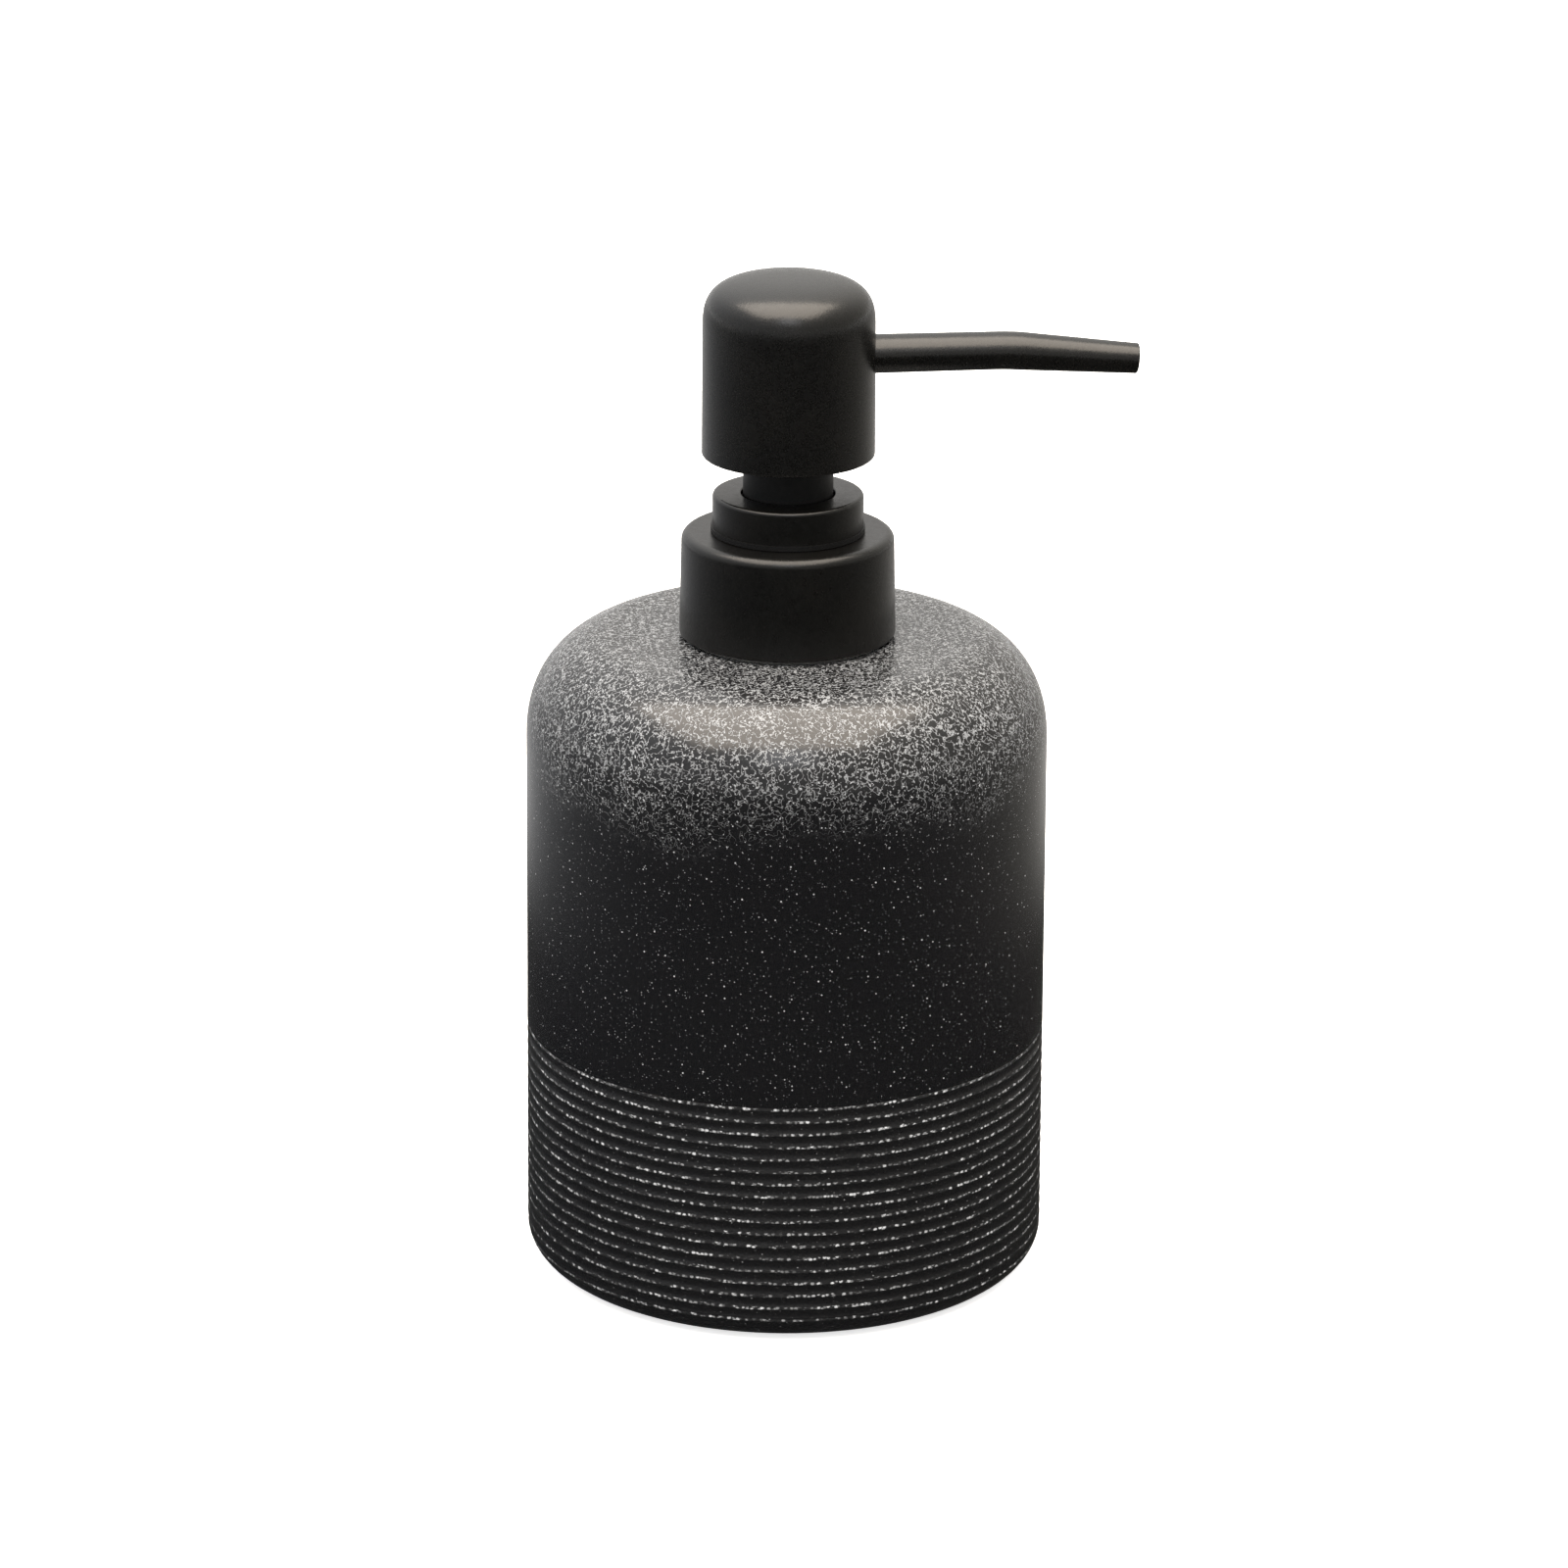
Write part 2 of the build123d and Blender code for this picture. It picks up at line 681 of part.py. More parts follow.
piston.part.label = "piston"
export_step(piston.part, "parts/piston.step")

# ======== Piston stem and plug ========

with BuildPart() as piston_stem:
    with BuildSketch(Plane.XZ):
        with BuildLine():
            Polyline(
                (STEM_BORE_R, PLUG_TOP),
                (STEM_R, PLUG_TOP),
                (STEM_R, STEM_COLLAR_Z),
                (STEM_COLLAR_R, STEM_COLLAR_Z),
                (STEM_COLLAR_R, STEM_COLLAR_Z + STEM_COLLAR_THICK),
                (STEM_R, STEM_COLLAR_Z + STEM_COLLAR_THICK),
                (STEM_R, STEM_TOP),
                (STEM_BORE_R, STEM_TOP),
                close=True,
            )
        make_face()
    revolve(axis=Axis.Z)
    # Cross hole that takes the soap into the stem.
    port_plane = Plane(origin=(0, 0, STEM_PORT_Z), z_dir=(0, 1, 0))
    with BuildSketch(port_plane):
        Circle(STEM_PORT_R)
    extrude(amount=STEM_R + OVERCUT, both=True, mode=Mode.SUBTRACT)

piston_stem.part.label = "piston_stem"
export_step(piston_stem.part, "parts/piston_stem.step")

with BuildPart() as piston_plug:
    with BuildSketch(Plane.XZ):
        with BuildLine():
            Polyline(
                (0, PLUG_BOTTOM),
                (PLUG_R, PLUG_BOTTOM),
                (PLUG_R, PLUG_BOTTOM + PLUG_RIM),
                (PLUG_SEAT_R, PLUG_TOP),
                (STEM_BORE_R, PLUG_TOP),
                (STEM_BORE_R, PLUG_PIN_TOP - PLUG_PIN_CHAMFER),
                (STEM_BORE_R - PLUG_PIN_CHAMFER, PLUG_PIN_TOP),
                (0, PLUG_PIN_TOP),
                close=True,
            )
        make_face()
    revolve(axis=Axis.Z)

piston_plug.part.label = "piston_plug"
export_step(piston_plug.part, "parts/piston_plug.step")

# ======== Head core ========

# A disc that fits the dome's bore, with the visible sleeve and the stem's hub below
# it, and the spout's boss and three ribs above it.
with BuildPart() as head_core:
    with BuildSketch(Plane.XZ):
        with BuildLine():
            Polyline(
                (0, STEM_TOP),
                (STEM_R, STEM_TOP),
                (STEM_R, HUB_BOTTOM),
                (HUB_R, HUB_BOTTOM),
                (HUB_R, CORE_DISC_Z),
                (SLEEVE_BORE_R, CORE_DISC_Z),
                (SLEEVE_BORE_R, SLEEVE_BOTTOM),
                (SLEEVE_R, SLEEVE_BOTTOM),
                (SLEEVE_R, CORE_DISC_Z),
                (HEAD_BORE_R, CORE_DISC_Z),
                (HEAD_BORE_R, CORE_DISC_Z + CORE_DISC_THICK),
                (BOSS_R, CORE_DISC_Z + CORE_DISC_THICK),
                (BOSS_R, SPOUT_Z + BOSS_R),
                (0, SPOUT_Z + BOSS_R),
                close=True,
            )
        make_face()
    revolve(axis=Axis.Z)

    # Spout boss along +X, down to the disc.
    with BuildSketch(Plane.YZ):
        with Locations((0, SPOUT_Z)):
            Circle(BOSS_R)
            Rectangle(2 * BOSS_R, SPOUT_Z - BOSS_FOOT_Z, align=(Align.CENTER, Align.MAX))
    extrude(amount=BOSS_END)

    # Stiffening ribs on the other three sides.
    with BuildSketch(Plane.XY.offset(CORE_DISC_Z + CORE_DISC_THICK)) as ribs:
        for rib_angle in (90, 180, 270):
            with Locations(Rot(0, 0, rib_angle) * Pos(RIB_START, 0, 0)):
                Rectangle(
                    HEAD_BORE_R - BOSS_R,
                    RIB_THICK,
                    align=(Align.MIN, Align.CENTER),
                )
    extrude(amount=RIB_HEIGHT)

    # Soap passage: up from the stem, then out to the spout's socket.
    with BuildSketch(Plane.XY.offset(STEM_TOP - OVERCUT)):
        Circle(STEM_BORE_R)
    extrude(amount=SPOUT_Z - STEM_TOP + OVERCUT, mode=Mode.SUBTRACT)
    with BuildSketch(Plane.YZ):
        with Locations((0, SPOUT_Z)):
            Circle(SPOUT_BORE_R)
    extrude(amount=BOSS_END, mode=Mode.SUBTRACT)
    with BuildSketch(Plane.YZ.offset(SPOUT_START)):
        with Locations((0, SPOUT_Z)):
            Circle(SPOUT_R)
    extrude(amount=BOSS_END, mode=Mode.SUBTRACT)

head_core.part.label = "head_core"
export_step(head_core.part, "parts/head_core.step")

# ======== Head shell ========

with BuildPart() as head_shell:
    with BuildSketch(Plane.XZ):
        with BuildLine():
            side = Line((HEAD_BOTTOM_R, HEAD_BOTTOM), (HEAD_R, HEAD_SHOULDER))
            crown = Bezier(
                side @ 1,
                (HEAD_R, HEAD_SHOULDER + HEAD_RISE),
                (HEAD_CROWN_R, HEAD_TOP),
                (0, HEAD_TOP),
            )
            Polyline(crown @ 1, (0, HEAD_BOTTOM), side @ 0)
        make_face()
    revolve(axis=Axis.Z)
    with BuildSketch(Plane.XZ):
        with BuildLine():
            inner_side = Line((HEAD_BORE_R, HEAD_BOTTOM), (HEAD_BORE_R, HEAD_SHOULDER))
            inner_crown = Bezier(
                inner_side @ 1,
                (HEAD_BORE_R, HEAD_SHOULDER + HEAD_INNER_RISE),
                (HEAD_CROWN_R - HEAD_WALL, HEAD_TOP - HEAD_WALL),
                (0, HEAD_TOP - HEAD_WALL),
            )
            Polyline(inner_crown @ 1, (0, HEAD_BOTTOM), inner_side @ 0)
        make_face()
    revolve(axis=Axis.Z, mode=Mode.SUBTRACT)
    head_rim = head_shell.edges().filter_by(GeomType.CIRCLE).group_by(Axis.Z)[0]
    fillet(head_rim.sort_by(SortBy.RADIUS)[-1], HEAD_EDGE)
    with BuildSketch(Plane.YZ):
        with Locations((0, SPOUT_Z)):
            Circle(SPOUT_HOLE_R)
    extrude(amount=HEAD_R + OVERCUT, mode=Mode.SUBTRACT)

head_shell.part.label = "head_shell"
export_step(head_shell.part, "parts/head_shell.step")

# ======== Spout ========

# Places along the spout: its start in the head's socket, the bend's start and end.
bend_angle = radians(SPOUT_BEND_ANGLE)
straight_length = SPOUT_BEND_START - SPOUT_START
spout_start = Plane(origin=(SPOUT_START, 0, SPOUT_Z), z_dir=(1, 0, 0))
bend_start = spout_start.offset(straight_length)
bend_end = Plane(
    origin=(
        SPOUT_BEND_START + SPOUT_BEND_R * sin(bend_angle),
        0,
        SPOUT_Z - SPOUT_BEND_R * (1 - cos(bend_angle)),
    ),
    z_dir=(cos(bend_angle), 0, -sin(bend_angle)),
)
bend_axis = Axis((SPOUT_BEND_START, 0, SPOUT_Z - SPOUT_BEND_R), (0, 1, 0))
along = (Align.CENTER, Align.CENTER, Align.MIN)
outside = (SPOUT_R, SPOUT_BEND_SECTION_R, SPOUT_TIP_R, Mode.ADD)
passage = (SPOUT_BORE_R, SPOUT_BEND_BORE_R, SPOUT_TIP_BORE_R, Mode.SUBTRACT)

# A slight cone to the bend, the bend, and a stronger cone to the tip.
with BuildPart() as spout:
    for start_r, bend_r, tip_r, mode in (outside, passage):
        with Locations(spout_start.location):
            Cone(start_r, bend_r, straight_length, align=along, mode=mode)
        with BuildSketch(bend_start):
            Circle(bend_r)
        revolve(axis=bend_axis, revolution_arc=SPOUT_BEND_ANGLE, mode=mode)
        with Locations(bend_end.location):
            Cone(bend_r, tip_r, SPOUT_END_LENGTH, align=along, mode=mode)
    tip_face = spout.faces().sort_by(Axis.X)[-1]
    fillet(tip_face.outer_wire().edges(), SPOUT_TIP_EDGE)

spout.part.label = "spout"
export_step(spout.part, "parts/spout.step")
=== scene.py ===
import math

import bpy
from mathutils import Matrix, Vector


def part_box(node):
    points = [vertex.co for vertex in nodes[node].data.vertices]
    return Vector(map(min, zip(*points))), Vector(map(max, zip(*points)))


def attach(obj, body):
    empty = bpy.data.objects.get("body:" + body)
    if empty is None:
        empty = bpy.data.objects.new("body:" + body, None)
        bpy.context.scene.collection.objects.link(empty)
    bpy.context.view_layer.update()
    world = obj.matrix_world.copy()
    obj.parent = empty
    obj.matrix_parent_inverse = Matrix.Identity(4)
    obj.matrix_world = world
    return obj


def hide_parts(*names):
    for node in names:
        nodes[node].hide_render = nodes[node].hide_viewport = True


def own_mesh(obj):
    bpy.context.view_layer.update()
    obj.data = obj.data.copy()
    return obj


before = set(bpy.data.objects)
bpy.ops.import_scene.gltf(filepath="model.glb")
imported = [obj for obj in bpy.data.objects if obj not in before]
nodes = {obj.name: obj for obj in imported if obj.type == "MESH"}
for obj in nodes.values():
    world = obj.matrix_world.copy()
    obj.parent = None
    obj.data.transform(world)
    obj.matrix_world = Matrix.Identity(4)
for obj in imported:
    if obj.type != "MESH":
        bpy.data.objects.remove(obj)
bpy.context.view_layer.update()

MM_PER_M = 1000.0
MORE_DETAIL = 3.0  # octaves of a noise texture, which has 2 where nothing is said
MOST_DETAIL = 4.0

# ---- The bottle's pattern: heights in millimetres, scales in features per millimetre ----
PATCH_SCALE = 0.07  # broad patches move the heights below up and down
GRAIN_PATCH_SHIFT = 16.0
SPECK_PATCH_SHIFT = 30.0
GRAIN_FADE = (64.0, 92.0)  # the dense grains come in over this height
GRAIN_SCALE = 2.0
GRAIN_RAGGED = (1.6, 0.8)  # scale and reach of what makes the grains uneven
GRAIN_RADIUS = (0.22, 0.355)  # in cells, where sparse and where dense
GRAIN_EDGE = 0.19  # width of a grain's soft edge, in cells
GRAIN_SOFTNESS = 0.1  # how gradually a grain comes in, either side of its turn
GRAIN_BRIGHT = (0.95, 0.22)  # from the grains that come in first to the last
COVER_BRIGHT = (0.45, 0.98)  # and from where they are sparse to where dense
WORM_SCALE = 1.0
WORM_FADE = (72.0, 94.0)  # where grains run together into short lines
WORM_WIDTH = (0.03, 0.008)  # a line's edge and core, as steps of the noise
WORM_BRIGHT = 0.7
SPECK_FADE = (16.0, 76.0)  # loose specks thin out downwards
SPECK_THINNING = (-0.5, -0.3)
SPECK_CORE = 0.45  # the speck's full-bright part, as a share of its radius
# Loose specks: cells per millimetre, speck radius in cells, least and most brightness.
SPECKS = ((0.76, 0.105, 0.25, 1.0), (1.2, 0.13, 0.05, 0.5), (2.0, 0.2, 0.0, 0.15))
GROOVE_DIMMING = 0.6  # what the grooves take off the specks' brightness

# ---- The bottle's thin rings, between its turned grooves ----
RIB_TOP = 36.0
RIB_PITCH = 1.888
RIB_LOWEST = 3.2
RIB_HALF_WIDTH = 0.25
RIB_CORE_WIDTH = 0.1  # the ring's brightest part, either side of its middle
RIB_WOBBLE = (1.5, 0.3)  # scale, and reach in millimetres
BEAD_SCALE = 1.6
BEAD_RADIUS = (0.58, 0.26)  # a bead's edge and core, in cells
BEAD_BRIGHT = (0.12, 1.2)
STRETCH_SCALE = 0.25  # rings are brighter in some stretches than in others
STRETCH_FADE = (0.34, 0.6)
STRETCH_LEAST = 0.3
RING_LEAST = 0.02
PIT_SCALE = 2.6
PIT_DEPTH = 2.2  # against a grain's height

# ---- The bottle's coat ----
GLAZE_BLACK = (0.0027, 0.0029, 0.0035, 1.0)
GLAZE_HAZE = (0.03492, 0.036, 0.03708, 1.0)
HAZE_SHARE = 0.12
GRAIN_COLOUR = (0.31, 0.326, 0.346, 1.0)
GLAZE_MOTTLE = 2.2
GLAZE_MOTTLE_RELIEF = 0.3  # against a grain's height
GLAZE_ROUGHNESS = (0.13, 0.28)
GROOVE_ROUGHNESS = 0.1
GRAIN_ROUGHNESS = 0.25
GLAZE_SPECULAR = 0.43
GLAZE_RELIEF = 0.026  # millimetres

# ---- The other materials; each pair of colours goes from dark to light ----
PAINT_TONES = ((0.0009, 0.0009, 0.0008, 1.0), (0.0017, 0.0016, 0.0013, 1.0))
PAINT_SCALES = (3.2, 1.1, 0.12)  # grain, mottle and tone
PAINT_RELIEF = 0.014
MOTTLE_RELIEF = 0.8  # the mottle's height against the fine grain's
HEAD_SPECULAR = 0.43
HEAD_ROUGHNESS = (0.15, 0.41)
COLLAR_SPECULAR = 0.35
COLLAR_ROUGHNESS = (0.18, 0.44)
TONE_FADE = (0.3, 0.7)
BLACK_TONES = ((0.0011, 0.0012, 0.0015, 1.0), (0.0018, 0.002, 0.0024, 1.0))
WHITE_TONES = ((0.62, 0.62, 0.59, 1.0), (0.74, 0.74, 0.72, 1.0))
SEAL_TONES = ((0.5, 0.5, 0.48, 1.0), (0.62, 0.62, 0.6, 1.0))
BLACK_SPECULAR = 0.25
WHITE_SPECULAR = 0.4
BLACK_ROUGHNESS = 0.5
WHITE_ROUGHNESS = 0.38
SEAL_ROUGHNESS = 0.6
ROUGHNESS_SPREAD = 0.06
FLOW_SCALE = 0.3
FLOW_STRETCH = (1.0, 1.0, 0.25)  # flow marks are long in Z
SPARK_SCALE = 5.0
TUBE_TONES = ((0.8, 0.83, 0.82, 1.0), (0.92, 0.94, 0.93, 1.0))
TUBE_SCALE = 2.0
TUBE_STRETCH = (1.0, 1.0, 0.03)  # draw lines run along the tube
TUBE_ROUGHNESS = (0.22, 0.36)
TUBE_CLEARNESS = 0.55
FINE_RELIEF = 0.01  # millimetres, on plastics
FOAM_SCALE = 2.2
FOAM_PORE = (0.45, 0.15)  # a pore's edge and floor, in cells
FOAM_GREY = 0.03
PORE_GREY = 0.012
FOAM_ROUGHNESS = (0.75, 0.92)
FOAM_RELIEF = 0.06
WIRE_GREYS = (0.42, 0.62)
WIRE_WARMTH = 0.02
WIRE_SCALE = 6.0
WIRE_ROUGHNESS = (0.2, 0.36)
WIRE_RELIEF = 0.008
GLASS_TONES = ((0.75, 0.86, 0.83, 1.0), (0.88, 0.95, 0.93, 1.0))
GLASS_SCALE = 3.0
GLASS_ROUGHNESS = (0.05, 0.14)
GLASS_CLEARNESS = 0.9
GLASS_IOR = 1.5
BLACK = (0.0, 0.0, 0.0, 1.0)
WHITE = (1.0, 1.0, 1.0, 1.0)

# ---- The return spring, in metres ----
SPRING_TURNS = 8
SPRING_WIRE_R = 0.0004
COIL_STEPS = 48  # places along the wire for each turn
WIRE_SIDES = 12

# ---- Camera and light, in metres, degrees and watts ----
CAMERA_AZIMUTH = -7.0  # degrees; negative is towards -X
CAMERA_PITCH = 19.09  # degrees below level
CAMERA_AIM = 0.023  # degrees aside from the bottle's axis
CAMERA_ROLL = 0.343
CAMERA_DISTANCE = 0.8344  # from the bottle's axis, level
CAMERA_HEIGHT = 0.3601
CAMERA_LENS = 141.0
CAMERA_SENSOR = 36.0
CAMERA_CLIP = (0.05, 50.0)
SOFTBOX_PLACE = (-0.12, -0.32, 1.1)
SOFTBOX_SIZE = (1.6, 1.25)
SOFTBOX_POWER = 38.0
SOFTBOX_COLOUR = (1.0, 0.88, 0.75)
WINDOW_PLACE = (-0.15, -1.2, 0.96)
WINDOW_SIZE = (0.55, 0.55)
WINDOW_POWER = 2.7
WINDOW_COLOUR = (0.93, 0.95, 1.0)
WINDOW_TARGET = (0.0, 0.0, 0.08)
HORIZON_LIGHT = 0.85  # the surround's strength
ZENITH_LIGHT = 3.1
ZENITH_POWER = 2.0  # keeps the brightness near the zenith
RIGHT_DIM = 0.16  # the surround is a little darker on the right
LEFT_TINT = (0.98, 0.99, 1.02, 1.0)
RIGHT_TINT = (1.05, 1.0, 0.91, 1.0)  # and a little warmer
LEVEL_SHARE = 0.8  # the surround's share sideways,
BACK_RISE = 0.2  # and what it gains straight behind
FLOOR_SIZE = 30.0
FLOOR_SHADE = 0.86
FLOOR_GLOW = 0.7  # the paper is lit from below, so the contact shadow is faint
FIBRE_SCALE = 0.4
FIBRE_SPREAD = 0.01
FLOOR_ROUGHNESS = 0.9
FLOOR_SPECULAR = 0.1

# ---- The painted reflection that the black coats see in place of the floor, with painted shade near the object ----
CARD_SIZE = 6.0
CARD_LEVEL = 0.0002
PAINTED_SHADE_REACH = (140.0, 230.0)  # millimetres from the axis over which the painted shade near the object gives way
# Painted shade: the card's weak glow near the object, where its own shadow falls on the floor.
PAINTED_SHADE_GLOW = 0.055
FRONT_GLOW = 0.035
BACK_GLOW = 0.68
BACK_POWER = 1.45  # keeps the brightness behind
RIGHT_PAINTED_SHADE = 0.08  # painted shade: a little darker on the right than on the left


# ======== Node helpers ========


def add(tree, kind, inputs=None, **settings):
    """Makes a node; inputs are values or sockets to link, by socket name or number."""
    node = tree.nodes.new(kind)
    for name, value in settings.items():
        setattr(node, name, value)
    for key, value in (inputs or {}).items():
        if isinstance(value, bpy.types.NodeSocket):
            tree.links.new(value, node.inputs[key])
        else:
            node.inputs[key].default_value = value
    return node


def maths(tree, operation, first, second=0.0, third=0.0):
    """One Math node's output."""
    inputs = {0: first, 1: second, 2: third}
    return add(tree, "ShaderNodeMath", inputs, operation=operation).outputs[0]


def fade(tree, value, start, end):
    """0 where value is at start and 1 where it is at end, smoothly between."""
    inputs = {"Value": value, "From Min": start, "From Max": end}
    node = add(tree, "ShaderNodeMapRange", inputs, interpolation_type="SMOOTHSTEP")
    return node.outputs["Result"]


def span(tree, value, low, high):
    """Stretches a 0 to 1 value to the range from low to high."""
    inputs = {"Value": value, "To Min": low, "To Max": high}
    return add(tree, "ShaderNodeMapRange", inputs).outputs["Result"]


def noise(tree, place, scale, detail=2.0):
    """A noise texture's value, about 0.5; scale is features per millimetre."""
    inputs = {"Vector": place, "Scale": scale, "Detail": detail}
    return add(tree, "ShaderNodeTexNoise", inputs).outputs["Fac"]


def warp(tree, place, scale, reach):
    """Pushes the place about by up to half of reach, so that round things turn out ragged."""
    inputs = {"Vector": place, "Scale": scale, "Detail": 1.0}
    push = add(tree, "ShaderNodeTexNoise", inputs).outputs["Color"]
    inputs = {0: push, 1: (0.5, 0.5, 0.5)}
    centred = add(tree, "ShaderNodeVectorMath", inputs, operation="SUBTRACT").outputs[0]
    inputs = {0: centred, 1: (reach, reach, reach), 2: place}
    return add(tree, "ShaderNodeVectorMath", inputs, operation="MULTIPLY_ADD").outputs[0]


def cells(tree, place, scale):
    """Distance from the nearest cell's centre, and the cell's own random number."""
    node = add(tree, "ShaderNodeTexVoronoi", {"Vector": place, "Scale": scale})
    parts = add(tree, "ShaderNodeSeparateColor", {"Color": node.outputs["Color"]})
    return node.outputs["Distance"], parts.outputs["Red"]


def blend(tree, share, first, second):
    """Mixes two colours, which are sockets 6 and 7 of a Mix node."""
    inputs = {0: share, 6: first, 7: second}
    return add(tree, "ShaderNodeMix", inputs, data_type="RGBA").outputs[2]


def grey(value, warm=0.0):
    """An RGBA grey, a little warmer or cooler than neutral."""
    return (value * (1 + warm), value, value * (1 - warm), 1.0)


def new_material(name):
    """A node material; returns it, its tree, its shader and the place in mm."""
    material = bpy.data.materials.new(name)
    material.use_nodes = True
    tree = material.node_tree
    shader = tree.nodes["Principled BSDF"]
    place = add(tree, "ShaderNodeTexCoord").outputs["Object"]
    inputs = {0: place, "Scale": MM_PER_M}
    scaled = add(tree, "ShaderNodeVectorMath", inputs, operation="SCALE")
    return material, tree, shader, scaled.outputs[0]


def relief(tree, shader, height, depth):
    """Joins a bump to the shader; a height of 1 stands depth millimetres proud."""
    inputs = {"Height": height, "Distance": depth / MM_PER_M, "Strength": 1.0}
    bump = add(tree, "ShaderNodeBump", inputs)
    tree.links.new(bump.outputs["Normal"], shader.inputs["Normal"])


# ======== Materials ========


def pattern_height(tree, patches, shift, z):
    """The height with broad patches moved up and down, so that no fade ends on a level line."""
    return maths(tree, "MULTIPLY_ADD", patches, shift, z)


def dense_grains(tree, place, height, cover):
    """Grains that grow in number and size with cover, and the lines they run into."""
    ragged = warp(tree, place, *GRAIN_RAGGED)
    distance, chance = cells(tree, ragged, GRAIN_SCALE)
    radius = span(tree, cover, *GRAIN_RADIUS)
    core = maths(tree, "SUBTRACT", radius, GRAIN_EDGE)
    grain = fade(tree, distance, radius, core)
    turn = maths(tree, "SUBTRACT", cover, chance)
    grain = maths(tree, "MULTIPLY", grain, fade(tree, turn, -GRAIN_SOFTNESS, GRAIN_SOFTNESS))
    bright = span(tree, chance, *GRAIN_BRIGHT)
    bright = maths(tree, "MULTIPLY", bright, span(tree, cover, *COVER_BRIGHT))
    grain = maths(tree, "MULTIPLY", grain, bright)

    ridge = maths(tree, "SUBTRACT", noise(tree, place, WORM_SCALE), 0.5)
    worm = fade(tree, maths(tree, "ABSOLUTE", ridge), *WORM_WIDTH)
    worm = maths(tree, "MULTIPLY", worm, fade(tree, height, *WORM_FADE))
    return maths(tree, "MAXIMUM", grain, maths(tree, "MULTIPLY", worm, WORM_BRIGHT))


def loose_specks(tree, place, height, grain):
    """Adds specks down the wall to the grains, from few and bright to many and faint."""
    thin = fade(tree, height, *SPECK_FADE)
    for scale, radius, low, high in SPECKS:
        distance, chance = cells(tree, place, scale)
        speck = fade(tree, distance, radius, radius * SPECK_CORE)
        present = fade(tree, maths(tree, "SUBTRACT", thin, chance), *SPECK_THINNING)
        speck = maths(tree, "MULTIPLY", speck, present)
        speck = maths(tree, "MULTIPLY", speck, span(tree, chance, high, low))
        grain = maths(tree, "MAXIMUM", grain, speck)
    return grain


def beaded_rings(tree, place, z, band):
    """The thin rings between the turned grooves, which carry broken bright beads."""
    wobble_scale, wobble_reach = RIB_WOBBLE
    wobble = maths(tree, "SUBTRACT", noise(tree, place, wobble_scale), 0.5)
    wavy = maths(tree, "MULTIPLY_ADD", wobble, wobble_reach, z)
    turns = maths(tree, "DIVIDE", maths(tree, "SUBTRACT", wavy, RIB_TOP), RIB_PITCH)
    count = maths(tree, "ROUND", turns)
    nearest = maths(tree, "ABSOLUTE", maths(tree, "SUBTRACT", turns, count))
    ring = maths(tree, "MULTIPLY", nearest, RIB_PITCH)
    ring = fade(tree, ring, RIB_HALF_WIDTH, RIB_CORE_WIDTH)
    ring = maths(tree, "MULTIPLY", ring, band)
    ring = maths(tree, "MULTIPLY", ring, maths(tree, "GREATER_THAN", z, RIB_LOWEST))
    distance, chance = cells(tree, place, BEAD_SCALE)
    bead = fade(tree, distance, *BEAD_RADIUS)
    bead = maths(tree, "MULTIPLY", bead, span(tree, chance, *BEAD_BRIGHT))
    stretches = fade(tree, noise(tree, place, STRETCH_SCALE), *STRETCH_FADE)
    shine = maths(tree, "MULTIPLY", bead, span(tree, stretches, STRETCH_LEAST, 1.0))
    return maths(tree, "MULTIPLY", ring, span(tree, shine, RING_LEAST, 1.0))


def resin_glaze():
    """Black cast resin with silver-white grains, dense on the shoulder."""
    material, tree, shader, place = new_material("resin_glaze")
    z = add(tree, "ShaderNodeSeparateXYZ", {0: place}).outputs["Z"]
    patches = maths(tree, "SUBTRACT", noise(tree, place, PATCH_SCALE, MORE_DETAIL), 0.5)
    height = pattern_height(tree, patches, GRAIN_PATCH_SHIFT, z)
    cover = fade(tree, height, *GRAIN_FADE)
    grain = dense_grains(tree, place, height, cover)
    height = pattern_height(tree, patches, SPECK_PATCH_SHIFT, z)
    grain = loose_specks(tree, place, height, grain)
    band = maths(tree, "LESS_THAN", z, RIB_TOP + RIB_HALF_WIDTH)
    ring = beaded_rings(tree, place, z, band)
    dimming = maths(tree, "MULTIPLY", band, GROOVE_DIMMING)
    grain = maths(tree, "MULTIPLY", grain, maths(tree, "SUBTRACT", 1.0, dimming))
    grain = maths(tree, "MAXIMUM", grain, ring)

    haze = maths(tree, "MULTIPLY", maths(tree, "POWER", cover, 2.0), HAZE_SHARE)
    ground = blend(tree, haze, GLAZE_BLACK, GLAZE_HAZE)
    tree.links.new(blend(tree, grain, ground, GRAIN_COLOUR), shader.inputs["Base Color"])
    mottle = noise(tree, place, GLAZE_MOTTLE, MORE_DETAIL)
    rough = span(tree, mottle, *GLAZE_ROUGHNESS)
    rough = maths(tree, "MULTIPLY_ADD", band, GROOVE_ROUGHNESS, rough)
    rough = maths(tree, "MULTIPLY_ADD", grain, GRAIN_ROUGHNESS, rough)
    tree.links.new(rough, shader.inputs["Roughness"])
    shader.inputs["Specular IOR Level"].default_value = GLAZE_SPECULAR
    pits = maths(tree, "MULTIPLY", noise(tree, place, PIT_SCALE), band)
    rise = maths(tree, "MULTIPLY_ADD", mottle, GLAZE_MOTTLE_RELIEF, grain)
    rise = maths(tree, "MULTIPLY_ADD", pits, PIT_DEPTH, rise)
    relief(tree, shader, rise, GLAZE_RELIEF)
    return material


